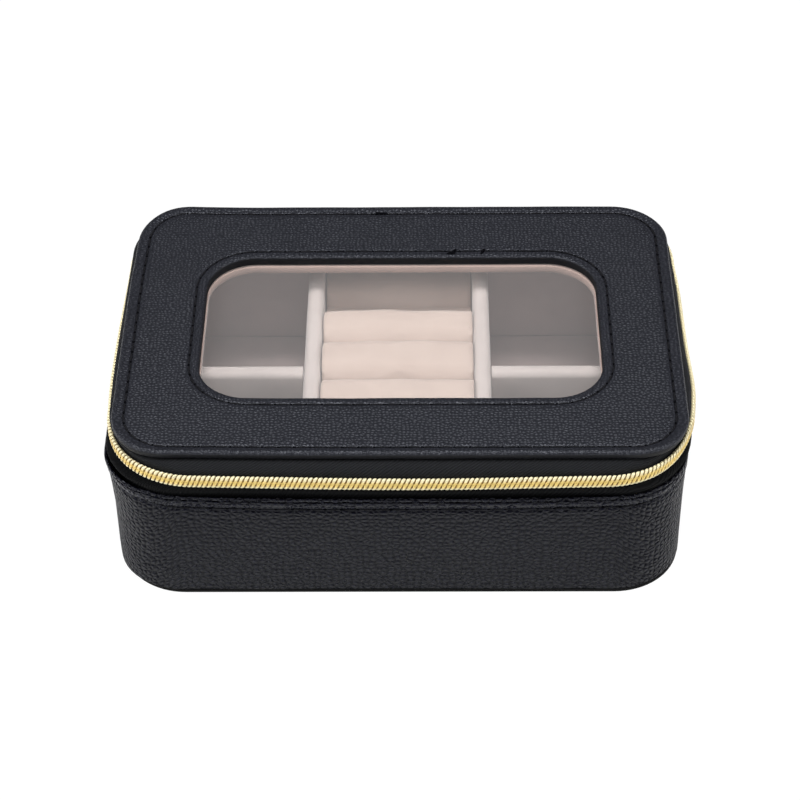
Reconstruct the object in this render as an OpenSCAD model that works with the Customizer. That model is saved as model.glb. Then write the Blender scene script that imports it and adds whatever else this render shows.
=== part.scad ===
// Ring display box: a zip-round case in pebbled leather with a window in the lid.
// Inside, seven velvet rolls hold rings between four open compartments.
// Origin: middle of the underside. X runs left to right, the front faces -Y, Z is up.

/* [Case] */
// Width of the lid, left to right
lid_w = 180; // [160:1:220]
// Depth of the lid, front to back
lid_d = 124; // [110:1:150]
// Height of the closed case
case_h = 60; // [54:1:80]
// Corner radius of the lid
lid_r = 18; // [16:0.5:21]
// Corner radius of the base
base_r = 22; // [20:0.5:26]
// How far the base stands out past the lid
base_step = 1; // [0.6:0.1:2]

/* [Leather and boards] */
// Leather of the covers
leather_t = 0.9; // [0.6:0.1:1.2]
// Leather where it is skived and turned in
turn_t = 0.5; // [0.4:0.1:0.8]
// Width of the turned-in margins
turn_in = 7; // [4:0.5:9]
// Grey board of the base walls and bottom
board_t = 2; // [1.6:0.1:3]
// Grey board of the lid
lid_board_t = 1.6; // [1.2:0.1:2.4]
// Cover sheet under the bottom
bottom_cover_t = 1.2; // [0.8:0.1:2]
// How far the bottom sheet stays inside the base
bottom_inset = 0.2; // [0.1:0.1:3]
// Rounding of the lid's outer edge
edge_round = 1.3; // [0.9:0.1:1.6]
// How far the padded edge of the lid swells out and up
edge_swell = 0.4; // [0:0.05:0.6]

/* [Window] */
// Width of the window
window_w = 129; // [100:1:138]
// Depth of the window
window_d = 70; // [50:1:80]
// Corner radius of the window
window_r = 16; // [10:0.5:20]
// Shift of the window to the right of the middle of the lid
window_x = 0.5; // [-3:0.5:3]
// Shift of the window to the back of the middle of the lid
window_y = -0.5; // [-3:0.5:3]
// Thickness of the clear pane
pane_t = 0.6; // [0.5:0.1:0.9]
// How far the pane reaches under the frame
pane_lap = 6; // [4:0.5:8]

/* [Stitch channels] */
// Distance of the outer seam from the lid's edge
lid_seam = 3.5; // [3:0.1:5]
// Distance of the window seam from the window
window_seam = 3.4; // [2.6:0.1:5]
// Distance of the rim seam below the base's rim
rim_seam = 4.3; // [3:0.1:6]
// Width of a stitch channel
channel_w = 0.9; // [0.5:0.1:1.2]
// Depth of a stitch channel
channel_h = 0.3; // [0.1:0.05:0.4]

/* [Zip] */
// Height of the zip's centre line below the lid panel
zip_drop = 7; // [6.4:0.1:9]
// Height of the zip's centre line above the base's rim
zip_rise = 9.2; // [8:0.1:11]
// Thickness of the zip tape
tape_t = 0.5; // [0.4:0.05:0.6]
// How far the middle of the tape bulges past the lid
tape_bulge = 2.2; // [1.8:0.1:3]
// Corner radius of the zip's tape at the front, where it cuts the corners
zip_corner = 28; // [22:0.5:31]
// How far the tape is tucked into the base
tape_tuck = 7; // [5:0.5:10]
// Spacing of the teeth along one row
tooth_pitch = 1.5; // [1.4:0.05:2]
// Width of one tooth
tooth_w = 0.55; // [0.4:0.05:0.6]
// How far a tooth reaches past the centre line
tooth_bite = 0.7; // [0.4:0.05:0.9]
// Height of one row above the centre line
row_h = 2.9; // [2.6:0.1:3.2]
// Thickness of the rows
row_t = 1.6; // [1.2:0.1:1.8]
// Depth of the scallops along a row's outer edge
scallop = 0.45; // [0.2:0.05:0.6]

/* [Hinge] */
// Clearance from the end of the zip's clamp to the leather hinge
hinge_gap = 2.6; // [2:0.1:6]
// How much wider the velvet strip is than the leather hinge, at each end
strip_margin = 2; // [0.5:0.1:2]
// Thickness of the velvet strip
strip_t = 0.8; // [0.5:0.1:1]
// How far the leather hinge bulges past the lid
hinge_bulge = 3.75; // [3:0.05:4]

/* [Slider and pull] */
// Length of the slider
slider_l = 11; // [10:0.5:11]
// Height of the slider across the zip
slider_h = 9; // [8.4:0.1:9.4]
// Thickness of the slider's plates
plate_t = 1; // [0.8:0.1:1.2]
// Straight travel of the slider behind the case
slider_travel = 4; // [2:0.5:4]
// Length of the pull below its pivot
pull_l = 24; // [16:1:32]
// Width of the pull's tab
pull_w = 5.2; // [4:0.1:7]
// Thickness of the pull
pull_t = 1; // [0.8:0.1:1.2]
// Radius of the post that the pull hangs on
post_r = 0.92; // [0.8:0.02:1.1]
// Running clearance between the pull and its post
post_gap = 0.08; // [0.04:0.01:0.1]

/* [Velvet interior] */
// Velvet-covered board of the inner walls
lining_t = 1.8; // [1.4:0.1:2.4]
// Velvet-covered floor pad
floor_pad_t = 1.8; // [1.2:0.1:3]
// Velvet-covered frame under the window
frame_t = 3.4; // [2.8:0.1:3.6]
// Height of the inner walls below the zip's centre line
lining_drop = 4.5; // [4.2:0.1:8]
// Thickness of the dividers
divider_t = 5.4; // [3:0.1:6]
// Width of the middle compartment
ring_bay_w = 50.6; // [40:0.2:64]
// Shift of the middle compartment to the right of the middle of the case
bay_x = -0.8; // [-4:0.1:4]
// Place of the cross dividers along Y
cross_y = -5.7; // [-20:0.1:20]
// Height of the dividers below the top of the inner walls
divider_drop = 0; // [0:0.5:6]

/* [Ring rolls] */
// Height of the rolls' crests above the inner walls
roll_rise = 1; // [-3:0.5:2]
// Height of one roll
roll_h = 24; // [18:1:28]
// Rounding of the rolls' crests
roll_round = 6; // [4:0.5:7]
// Gap between two rolls
roll_gap = 0.4; // [0.3:0.1:1]

/* [Hidden] */
$fn = 96;

// Number of ring rolls, one node each
roll_count = 7;
// Clearance between soft pieces that lie side by side
soft_gap = 0.2;
// Clearance between the lid's pieces and the base's where they meet at the fold
fold_gap = 0.15;

// Levels, from the underside up
board_z = bottom_cover_t + turn_t;
floor_z = board_z + board_t;
pad_z = floor_z + floor_pad_t;
panel_t = turn_t + lid_board_t + leather_t;
panel_z = case_h - panel_t;
frame_z = panel_z - pane_t - frame_t;
zip_z = panel_z - zip_drop;
rim_z = zip_z - zip_rise;
lining_z = zip_z - lining_drop;
divider_z = lining_z - divider_drop;
roll_z = lining_z + roll_rise;
platform_z = roll_z - roll_h;

// Offsets out from the lid's outline, negative inwards
leather_in = base_step - leather_t;
board_in = leather_in - board_t;
lining_in = board_in - lining_t;
strip_in = lining_in - strip_t;
tape_in = leather_in - tape_t;
tape_face = tape_bulge + tape_t / 2;
row_face = tape_face + row_t;
fold_face = hinge_bulge + leather_t / 2;
front_r = zip_corner - tape_bulge;
frame_in = -3.5;

// Half sizes
half_w = lid_w / 2;
half_d = lid_d / 2;
bay_back = half_d + strip_in - soft_gap;
bay_front = -(half_d + lining_in) + soft_gap;
side_in = half_w + lining_in - soft_gap;

// Zip stretches behind the case, measured along X
corner_x = half_w - lid_r;
zip_start = half_w - base_r + base_step;
zip_end_stop = corner_x - 0.3;
slider_x = zip_end_stop - 0.2 - slider_travel - slider_l;
stop_l = 1.6;
stop_x = slider_x - 0.3 - stop_l;
hinge_w = 2 * (stop_x - hinge_gap);
hinge_lining_w = hinge_w + 2 * strip_margin;
zip_left_end = -hinge_w / 2 - 0.4;
zip_end_start = hinge_w / 2 + 0.3;
end_teeth_x = slider_x + slider_l - 1.5;

// Hinge axis of the lid: along X, just behind the fold of the leather hinge
hinge_y = half_d + fold_face + 0.2;

// ---------- shapes in the plane ----------

// Rectangle with round corners
module round_rect(w, d, r) {
    square([w - 2 * r, d], center = true);
    square([w, d - 2 * r], center = true);
    for (x = [-1, 1], y = [-1, 1])
        translate([x * (w / 2 - r), y * (d / 2 - r)]) circle(r);
}

// Outline of the lid, grown by n
module lid_outline(n) {
    round_rect(lid_w + 2 * n, lid_d + 2 * n, lid_r + n);
}

// Outline of the base, given as an offset from the lid's sides
module base_outline(n) {
    round_rect(lid_w + 2 * n, lid_d + 2 * n, base_r - base_step + n);
}

// Outline of the window, grown by n
module window_outline(n) {
    translate([window_x, window_y]) round_rect(window_w + 2 * n, window_d + 2 * n, window_r + n);
}

// Points of an arc about a centre, from one angle to another
function arc(c, r, a0, a1, steps = 5) =
    [for (k = [0:steps]) c + r * [cos(a0 + (a1 - a0) * k / steps), sin(a0 + (a1 - a0) * k / steps)]];

// ---------- profiles of the tapes and the hinge: [offset, corner share, height] ----------
// The corner share is 1 where the corner follows the piece that holds it and 0 at the zip,
// which follows the lid at the back and cuts the corners at the front.

bend_steps = 6;
function smooth(t) = (1 - cos(180 * t)) / 2;

// Lower side: tucked behind the leather, out over the rim and up to the zip
function lower_line(bulge, bend_top, top) = let (lo = tape_in + tape_t / 2) concat(
    [[lo, 1, rim_z - tape_tuck]],
    [for (k = [0:bend_steps]) let (t = k / bend_steps)
        [lo + (bulge - lo) * smooth(t), 1 - smooth(t), rim_z + 0.4 + (bend_top - rim_z - 0.4) * t]],
    [[bulge, 0, top]]);

// Upper side: glued under the lid's panel, out past its edge and down to the zip
function upper_line(bulge, bend_low, low) = let (top = panel_z - 0.05 - tape_t / 2) concat(
    [[-turn_in - 2, 1, top]],
    [for (k = [0:bend_steps]) let (a = 90 * k / bend_steps)
        [-1.6 + (bulge + 1.6) * sin(a), 1 - sin(a), top - (top - bend_low) * (1 - cos(a))]],
    [[bulge, 0, low]]);

// Closed loop of a line with a thickness at each point
function tangent(line, i) = let (
        a = line[max(i - 1, 0)], b = line[min(i + 1, len(line) - 1)],
        v = [b[0] - a[0], b[2] - a[2]]) v / norm(v);
function side_points(line, t, side) = [for (i = [0:len(line) - 1]) let (v = tangent(line, i))
    [line[i][0] - side * v[1] * t[i] / 2, line[i][1], line[i][2] + side * v[0] * t[i] / 2]];
function loop_of(line, t) = let (
        near = side_points(line, t, 1), far = side_points(line, t, -1), n = len(line))
    concat(near, [for (i = [n - 1:-1:0]) far[i]]);
function even(line, t) = [for (p = line) t];
// Skived to the tape's thickness where it is tucked in, full leather outside
function skived(line) = [for (i = [0:len(line) - 1]) i < 2 ? tape_t : leather_t];

// Straight stretch of a tape behind the case, from x0 to x1
module back_strip(loop, x0, x1) {
    translate([x0, half_d, 0]) rotate([90, 0, 90])
        linear_extrude(x1 - x0) polygon([for (p = loop) [p[0], p[2]]]);
}

// A tape that runs from x0 behind the case, round all four corners, to x1; held_r is the
// corner radius of the piece that holds it
corner_steps = 10;
module wrap_strip(loop, x0, x1, held_r) {
    corners = [[1, 1, 90], [1, -1, 0], [-1, -1, -90], [-1, 1, -180]];
    rings = concat(
        [[for (p = loop) [x0, half_d + p[0], p[2]]]],
        [for (c = corners, k = [0:corner_steps]) let (a = c[2] - 90 * k / corner_steps)
            [for (p = loop) let (zip_r = c[1] > 0 ? lid_r : front_r, r = p[0] + zip_r + p[1] * (held_r - zip_r))
                [c[0] * (half_w + p[0] - r) + r * cos(a), c[1] * (half_d + p[0] - r) + r * sin(a), p[2]]]],
        [[for (p = loop) [x1, half_d + p[0], p[2]]]]);
    m = len(loop);
    last = len(rings) - 1;
    polyhedron(
        points = [for (ring = rings, p = ring) p],
        faces = concat(
            [for (j = [0:m / 2 - 2]) [j + 1, j, m - 1 - j, m - 2 - j]],
            [for (i = [0:last - 1], j = [0:m - 1]) let (a = i * m + j, b = i * m + (j + 1) % m)
                [a, b, b + m, a + m]],
            [for (j = [0:m / 2 - 2]) last * m * [1, 1, 1, 1] + [j, j + 1, m - 2 - j, m - 1 - j]]));
}

// ---------- sweeping a profile round the base or the lid ----------
// The profile's x is the distance out from the outline, its y the height.
module ring_sweep(w, d, r) {
    for (s = [0, 180]) rotate([0, 0, s]) {
        translate([w / 2, 0, 0]) rotate([90, 0, 0]) linear_extrude(d - 2 * r, center = true) children();
        translate([0, d / 2, 0]) rotate([90, 0, 90]) linear_extrude(w - 2 * r, center = true) children();
        translate([w / 2 - r, d / 2 - r, 0]) rotate_extrude(angle = 90) translate([r, 0]) children();
        translate([r - w / 2, d / 2 - r, 0]) rotate([0, 0, 90])
            rotate_extrude(angle = 90) translate([r, 0]) children();
    }
}

// ---------- base ----------

module base_bottom_cover() {
    color("#1b1b1d") linear_extrude(bottom_cover_t) base_outline(base_step - bottom_inset);
}

module base_bottom_board() {
    color("#8c8780") translate([0, 0, board_z]) linear_extrude(board_t) base_outline(leather_in);
}

// Wall ring that stands on the bottom board; its upper part is cut back for the tucked-in tape
module base_wall_board() {
    tuck_gap = 0.1;
    tuck_z = rim_z - tape_tuck - 0.3;
    top_z = rim_z - 0.6;
    color("#8c8780") {
        translate([0, 0, floor_z]) linear_extrude(tuck_z - floor_z) difference() {
            base_outline(leather_in);
            base_outline(board_in);
        }
        translate([0, 0, tuck_z]) linear_extrude(top_z - tuck_z) difference() {
            base_outline(tape_in - tuck_gap);
            base_outline(board_in);
        }
    }
}

// Leather round the walls: turned in under the bottom, hemmed and stitched at the rim
module base_wall_leather() {
    foot = 1;
    hem = 0.4;
    color("#2b2c30") ring_sweep(lid_w + 2 * base_step, lid_d + 2 * base_step, base_r)
        difference() {
            polygon(concat(
                arc([-foot, bottom_cover_t + foot], foot, -90, 0),
                arc([-hem, rim_z - hem], hem, 0, 90),
                [[-leather_t, rim_z], [-leather_t, board_z],
                 [-leather_t - turn_in, board_z], [-leather_t - turn_in, bottom_cover_t]]));
            for (z = [rim_z - 1.3, rim_z - rim_seam])
                translate([-channel_h, z - channel_w / 2]) square([1, channel_w]);
        }
}

module base_wall_lining() {
    color("#d9c9bd") translate([0, 0, floor_z]) linear_extrude(lining_z - floor_z) difference() {
        base_outline(board_in);
        base_outline(lining_in);
    }
}

module base_floor_pad() {
    color("#d9c9bd") translate([0, 0, floor_z]) linear_extrude(floor_pad_t)
        base_outline(lining_in - soft_gap);
}

// Upright panel with a rounded top edge, running along Y, its middle on x = 0
module divider_panel(length, top) {
    nose = divider_t / 2;
    rotate([90, 0, 0]) linear_extrude(length, center = true) {
        translate([-nose, 0]) square([divider_t, top - pad_z - nose]);
        translate([0, top - pad_z - nose]) circle(nose);
    }
}

module long_divider(side) {
    color("#e2d6cd") translate([bay_x + side * (ring_bay_w + divider_t) / 2, (bay_back + bay_front) / 2, pad_z])
        divider_panel(bay_back - bay_front, divider_z);
}

module cross_divider(side) {
    inner = side * bay_x + ring_bay_w / 2 + divider_t + soft_gap;
    color("#e2d6cd") translate([side * (inner + side_in) / 2, cross_y, pad_z])
        rotate([0, 0, 90]) divider_panel(side_in - inner, divider_z);
}

module divider_left() { long_divider(-1); }
module divider_right() { long_divider(1); }
module cross_divider_left() { cross_divider(-1); }
module cross_divider_right() { cross_divider(1); }

// ---------- ring rolls ----------

roll_pitch = (bay_back - bay_front) / roll_count;
roll_l = ring_bay_w - 2 * 0.3;

module roll_platform() {
    color("#cdbdb0") translate([bay_x - roll_l / 2, bay_front, pad_z])
        cube([roll_l, bay_back - bay_front, platform_z - pad_z]);
}

// Foam roll under velvet: upright sides and a round crest, lying along X
module ring_roll(i) {
    w = roll_pitch - roll_gap;
    color("#e8dacf")
        translate([bay_x, bay_front + (i - 0.5) * roll_pitch, platform_z])
            rotate([90, 0, 90]) linear_extrude(roll_l, center = true) {
                translate([-w / 2, 0]) square([w, roll_h - roll_round]);
                translate([roll_round - w / 2, 0]) square([w - 2 * roll_round, roll_h]);
                for (side = [-1, 1]) translate([side * (w / 2 - roll_round), roll_h - roll_round])
                    circle(roll_round);
            }
}

// ---------- zip ----------

lower_tape = lower_line(tape_bulge, zip_z - row_h - 0.1, zip_z - 1);
upper_tape = upper_line(tape_bulge, zip_z + row_h + 0.5, zip_z + 1);

module zip_tape_lower() {
    color("#1d1d20") wrap_strip(loop_of(lower_tape, even(lower_tape, tape_t)), zip_start, zip_left_end,
        base_r - base_step);
}

module zip_tape_upper() {
    color("#1d1d20") wrap_strip(loop_of(upper_tape, even(upper_tape, tape_t)), corner_x, zip_left_end, lid_r);
}

// One row of teeth, drawn along x with its teeth down past y = 0.
// Tooth i stands at (i + phase) pitches; the far edge is scalloped once a pitch.
spine_h = tooth_bite + 0.5;
function tooth_points(s) = [[s - tooth_w / 2, spine_h], [s - tooth_w / 2, -tooth_bite],
    [s + tooth_w / 2, -tooth_bite], [s + tooth_w / 2, spine_h]];
module row_outline(count, pitch, phase) {
    polygon(concat(
        [[0, spine_h]],
        [for (i = [0:count - 1]) each tooth_points((i + phase) * pitch)],
        [[count * pitch, spine_h], [count * pitch, row_h - scallop]],
        [for (i = [count - 1:-1:0]) each [[(i + 0.5) * pitch, row_h], [i * pitch, row_h - scallop]]]));
}

// Sign of a row's mirror: side 1 is the lid's row above the seam, -1 the base's below it
module on_side(side) {
    mirror([0, 0, side > 0 ? 0 : 1]) children();
}
function row_phase(side) = side > 0 ? 0.25 : 0.75;

// A straight run of a row on the tape's face, along X
module straight_row(length, side) {
    count = max(1, round(length / tooth_pitch));
    on_side(side) translate([length, 0, 0]) rotate([90, 0, 180])
        linear_extrude(row_t) row_outline(count, length / count, row_phase(side));
}

// The teeth of one corner: each on its own flat stretch of the spine
module corner_row(side, r) {
    count = round((r + row_t / 2) * PI / 2 / tooth_pitch);
    step = 90 / count;
    reach = (r + row_t) * tan(step / 2) + 0.02;
    stand = (0.5 - row_phase(side)) * step * PI / 180 * (r + row_t / 2);
    on_side(side) for (i = [0:count - 1])
        rotate([0, 0, 90 - (i + 0.5) * step]) translate([r, 0, 0]) rotate([90, 0, 90])
            linear_extrude(row_t) polygon(concat([[-reach, spine_h]], tooth_points(stand),
                [[reach, spine_h], [reach, row_h - scallop], [0, row_h], [-reach, row_h - scallop]]));
}

module zip_row(side) {
    side_run = lid_d - lid_r - front_r;
    front_run = lid_w - 2 * front_r;
    back_run = corner_x + zip_left_end;
    color("#d8c078") translate([0, 0, zip_z]) {
        for (c = [[1, 1, 0, lid_r], [1, -1, -90, front_r], [-1, -1, -180, front_r], [-1, 1, -270, lid_r]])
            translate([c[0] * (half_w - c[3]), c[1] * (half_d - c[3]), 0])
                rotate([0, 0, c[2]]) corner_row(side, c[3] + tape_face);
        translate([half_w + tape_face, half_d - lid_r, 0]) rotate([0, 0, -90]) straight_row(side_run, side);
        translate([half_w - front_r, -half_d - tape_face, 0]) rotate([0, 0, 180]) straight_row(front_run, side);
        translate([-half_w - tape_face, front_r - half_d, 0]) rotate([0, 0, 90]) straight_row(side_run, side);
        translate([-corner_x, half_d + tape_face, 0]) straight_row(back_run, side);
    }
}

module zip_teeth_lower() { zip_row(-1); }
module zip_teeth_upper() { zip_row(1); }

// The last stretch beside the hinge: the two tape ends, parted where the slider rests
end_slit = 1.4;
end_top = 5.2;
module zip_end_tape() {
    line = lower_line(tape_bulge, zip_z - 5, zip_z - end_slit);
    color("#1d1d20") {
        back_strip(loop_of(line, even(line, tape_t)), zip_end_start, zip_start - 0.05);
        translate([stop_x - 0.2, half_d + tape_bulge - tape_t / 2, zip_z + end_slit])
            cube([zip_end_stop - stop_x + 0.2, tape_t, end_top - end_slit]);
    }
}

module zip_end_teeth() {
    length = zip_end_stop - end_teeth_x;
    color("#d8c078") translate([end_teeth_x, half_d + tape_face, zip_z]) {
        straight_row(length, 1);
        straight_row(length, -1);
    }
}

// Metal clamp across both tape edges that holds them together and stops the slider
module zip_end_clamp() {
    lip = 0.5;
    grip = 2;
    color("#c9ac5c") translate([stop_x, half_d + tape_bulge, zip_z]) difference() {
        translate([0, -tape_t / 2 - lip, -end_slit - grip]) cube([stop_l, tape_t + 2 * lip + 0.4, 2 * (end_slit + grip)]);
        for (side = [0, 1]) mirror([0, 0, side])
            translate([-1, -tape_t / 2, end_slit]) cube([stop_l + 2, tape_t, grip + 1]);
    }
}

// ---------- hinge ----------

leather_low = lower_line(hinge_bulge, zip_z - 2, zip_z - fold_gap);
leather_up = upper_line(hinge_bulge, zip_z + 2.6, zip_z + fold_gap);

module hinge_leather_base_leaf() {
    color("#2b2c30") back_strip(loop_of(leather_low, skived(leather_low)), -hinge_w / 2, hinge_w / 2);
}

module hinge_leather_lid_leaf() {
    color("#2b2c30") back_strip(loop_of(leather_up, skived(leather_up)), -hinge_w / 2, hinge_w / 2);
}

// Velvet strip: down the inner wall on the base's side, under the frame on the lid's
strip_fold = 1.1;
strip_lap = 9;
strip_foot = 0.2;
module hinge_lining_base_leaf() {
    x0 = lining_in - strip_t;
    color("#cdbdb0") translate([-hinge_lining_w / 2, half_d, 0]) rotate([90, 0, 90])
        linear_extrude(hinge_lining_w) polygon([
            [x0, pad_z + strip_foot], [lining_in, pad_z + strip_foot], [lining_in, lining_z], [board_in + 0.3, lining_z],
            [strip_fold + strip_t / 2, zip_z - fold_gap], [strip_fold - strip_t / 2, zip_z - fold_gap],
            [board_in, lining_z + strip_t], [x0, lining_z + strip_t]]);
}

module hinge_lining_lid_leaf() {
    color("#cdbdb0") translate([-hinge_lining_w / 2, half_d, 0]) rotate([90, 0, 90])
        linear_extrude(hinge_lining_w) polygon([
            [frame_in - strip_lap, frame_z], [frame_in - strip_lap, frame_z - strip_t], [frame_in, frame_z - strip_t],
            [strip_fold - strip_t / 2, zip_z + fold_gap], [strip_fold + strip_t / 2, zip_z + fold_gap],
            [frame_in + 0.3, frame_z]]);
}

// ---------- lid ----------

// Leather panel wrapped over the board: round the swollen outer edge and into the window
module lid_leather() {
    r = edge_round;
    band = turn_in;
    lip = 0.8;
    color("#2f3035") difference() {
        union() {
            ring_sweep(lid_w, lid_d, lid_r) polygon(concat(
                [[-band, case_h], [channel_w - lid_seam, case_h]],
                arc([edge_swell - r, case_h + edge_swell - r], r, 110, -40, 7),
                arc([-lip, panel_z + lip], lip, 0, -90, 3),
                [[-band, panel_z], [-band, panel_z + turn_t], [-leather_t, panel_z + turn_t],
                 [-leather_t, case_h - leather_t], [-band, case_h - leather_t]]));
            translate([0, 0, case_h - leather_t]) linear_extrude(leather_t) difference() {
                lid_outline(-band);
                window_outline(0);
            }
            translate([0, 0, panel_z]) linear_extrude(panel_t) difference() {
                window_outline(leather_t);
                window_outline(0);
            }
            translate([0, 0, panel_z]) linear_extrude(turn_t) difference() {
                window_outline(leather_t + turn_in);
                window_outline(leather_t);
            }
        }
        translate([0, 0, case_h - channel_h]) linear_extrude(1) {
            difference() {
                lid_outline(-lid_seam + channel_w / 2);
                lid_outline(-lid_seam - channel_w / 2);
            }
            difference() {
                window_outline(window_seam + channel_w / 2);
                window_outline(window_seam - channel_w / 2);
            }
        }
    }
}

module lid_board() {
    color("#8c8780") translate([0, 0, panel_z + turn_t]) linear_extrude(lid_board_t) difference() {
        lid_outline(-leather_t);
        window_outline(leather_t);
    }
}

module window_pane() {
    color([0.85, 0.9, 0.92, 0.3]) translate([0, 0, panel_z - pane_t]) linear_extrude(pane_t)
        window_outline(pane_lap);
}

// Velvet-covered frame that holds the pane up against the panel
module lid_lining_frame() {
    color("#cbb7ab") translate([0, 0, frame_z]) linear_extrude(frame_t) difference() {
        lid_outline(frame_in);
        window_outline(-0.4);
    }
}

// ---------- slider and pull ----------

// Plate of the slider in the X-Z plane, wide at the nose and narrower at the mouth
module slider_plate() {
    h = slider_h / 2;
    polygon([[1.6, -h], [slider_l * 0.55, -h], [slider_l - 0.8, -h + 0.7], [slider_l, -h + 1.5],
        [slider_l, h - 1.5], [slider_l - 0.8, h - 0.7], [slider_l * 0.55, h], [1.6, h],
        [0, h - 1.8], [0, -h + 1.8]]);
}

front_plate = row_face + 0.3;
back_plate = tape_bulge - tape_t / 2 - 0.3 - plate_t;
rail_h = slider_h / 2 - row_h - 0.4;

// Two plates joined by the wedge that parts the rows, with rails along the front plate
module slider_body() {
    color("#d6b866") translate([slider_x, half_d, zip_z]) {
        for (n = [front_plate, back_plate]) translate([0, n + plate_t, 0])
            rotate([90, 0, 0]) linear_extrude(plate_t) slider_plate();
        translate([2, back_plate + plate_t, 0]) rotate([-90, 0, 0])
            linear_extrude(front_plate - back_plate - plate_t)
                polygon([[-1.4, 0], [0, -1], [1.6, 0], [0, 1]]);
        for (side = [-1, 1]) translate([1.6, tape_face + 0.4, side * (slider_h / 2 - rail_h / 2) - rail_h / 2])
            cube([slider_l * 0.55 - 1.6, front_plate - tape_face - 0.4, rail_h]);
    }
}

post_x = slider_x + 2.4;
far_post_x = slider_x + slider_l - 2.2;
plate_face = front_plate + plate_t;
pull_face = plate_face + 0.5;
bridge_face = pull_face + pull_t + 0.5;

// Bridge over the slider: a round post that carries the pull, a far post and a bar
module slider_bridge() {
    color("#d6b866") translate([0, half_d, zip_z]) {
        for (x = [post_x, far_post_x]) translate([x, plate_face, 0])
            rotate([-90, 0, 0]) cylinder(r = post_r, h = bridge_face - plate_face);
        translate([0, bridge_face + 1, 0]) rotate([90, 0, 0]) linear_extrude(1) {
            translate([post_x, -post_r - 0.2]) square([far_post_x - post_x, 2 * post_r + 0.4]);
            for (x = [post_x, far_post_x]) translate([x, 0]) circle(post_r + 0.2);
        }
    }
}

// Pull: an eye on the post, a narrow neck and a tab that flares and ends round
module zip_pull() {
    eye = 2.2;
    neck = 1.2;
    flare = 7.5;
    end_r = pull_w / 2;
    color("#d6b866") translate([post_x, half_d + pull_face + pull_t, zip_z]) rotate([90, 0, 0])
        linear_extrude(pull_t) difference() {
            polygon(concat(arc([0, 0], eye, -33, 213, 20), [[-neck, -flare]],
                arc([0, end_r - pull_l], end_r, 180, 360, 14), [[neck, -flare]]));
            circle(post_r + post_gap);
        }
}

base_bottom_cover();
base_bottom_board();
base_wall_board();
base_wall_leather();
base_wall_lining();
base_floor_pad();
divider_left();
divider_right();
cross_divider_left();
cross_divider_right();
roll_platform();
ring_roll(1);  // ring_roll_1
ring_roll(2);  // ring_roll_2
ring_roll(3);  // ring_roll_3
ring_roll(4);  // ring_roll_4
ring_roll(5);  // ring_roll_5
ring_roll(6);  // ring_roll_6
ring_roll(7);  // ring_roll_7
zip_tape_lower();
zip_teeth_lower();
zip_end_tape();
zip_end_teeth();
zip_end_clamp();
hinge_leather_base_leaf();
hinge_lining_base_leaf();
lid_leather();
lid_board();
window_pane();
lid_lining_frame();
zip_tape_upper();
zip_teeth_upper();
hinge_leather_lid_leaf();
hinge_lining_lid_leaf();
slider_body();
slider_bridge();
zip_pull();
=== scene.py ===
import math
import bpy
import bmesh
from mathutils import Matrix, Vector, noise


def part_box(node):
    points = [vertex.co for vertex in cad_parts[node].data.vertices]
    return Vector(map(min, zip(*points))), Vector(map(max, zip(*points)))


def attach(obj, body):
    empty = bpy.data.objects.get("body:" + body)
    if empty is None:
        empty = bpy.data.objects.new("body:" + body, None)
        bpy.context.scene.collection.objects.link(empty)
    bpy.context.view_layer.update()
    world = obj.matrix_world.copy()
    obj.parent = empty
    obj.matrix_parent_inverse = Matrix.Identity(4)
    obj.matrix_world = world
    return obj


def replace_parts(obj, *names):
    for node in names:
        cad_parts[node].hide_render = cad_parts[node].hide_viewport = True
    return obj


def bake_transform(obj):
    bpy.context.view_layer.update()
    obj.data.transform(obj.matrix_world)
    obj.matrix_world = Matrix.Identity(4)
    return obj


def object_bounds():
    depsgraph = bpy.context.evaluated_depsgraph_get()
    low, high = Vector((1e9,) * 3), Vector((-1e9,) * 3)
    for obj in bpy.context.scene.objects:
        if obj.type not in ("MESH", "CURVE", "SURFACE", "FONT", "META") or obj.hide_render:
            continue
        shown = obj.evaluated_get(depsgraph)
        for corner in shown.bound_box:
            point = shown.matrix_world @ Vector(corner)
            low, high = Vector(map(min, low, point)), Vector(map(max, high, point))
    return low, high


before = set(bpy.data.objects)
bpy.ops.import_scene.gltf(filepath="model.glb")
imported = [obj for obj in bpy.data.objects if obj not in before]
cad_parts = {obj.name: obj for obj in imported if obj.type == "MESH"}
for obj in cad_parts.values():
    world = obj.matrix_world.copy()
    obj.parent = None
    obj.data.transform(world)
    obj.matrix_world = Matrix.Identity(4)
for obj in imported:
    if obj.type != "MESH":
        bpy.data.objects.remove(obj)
cad_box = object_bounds()


# ---- The pictures' place: a pale table top, the lamps above it and the camera ----
# The box stands on a white sheet under two wide lamps. Weaker lamps fill the front and
# both sides, and the camera looks down on the front at about forty degrees.

camera = bpy.data.objects.new("camera", bpy.data.cameras.new("camera"))
camera.data.lens, camera.data.sensor_width = 105.75, 36
camera.data.clip_start, camera.data.clip_end = 0.05, 20
right, up, back = (0.99994, 0.00625, -0.00924), (0.00267, 0.67072, 0.74171), (0.01083, -0.74169, 0.67066)
turned = Matrix((right, up, back)).transposed().to_4x4()
camera.matrix_world = Matrix.Translation((0.0084, -0.5835, 0.5542)) @ turned
bpy.context.collection.objects.link(camera)
bpy.context.scene.camera = camera
bpy.context.scene.view_settings.view_transform = "Standard"


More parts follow.
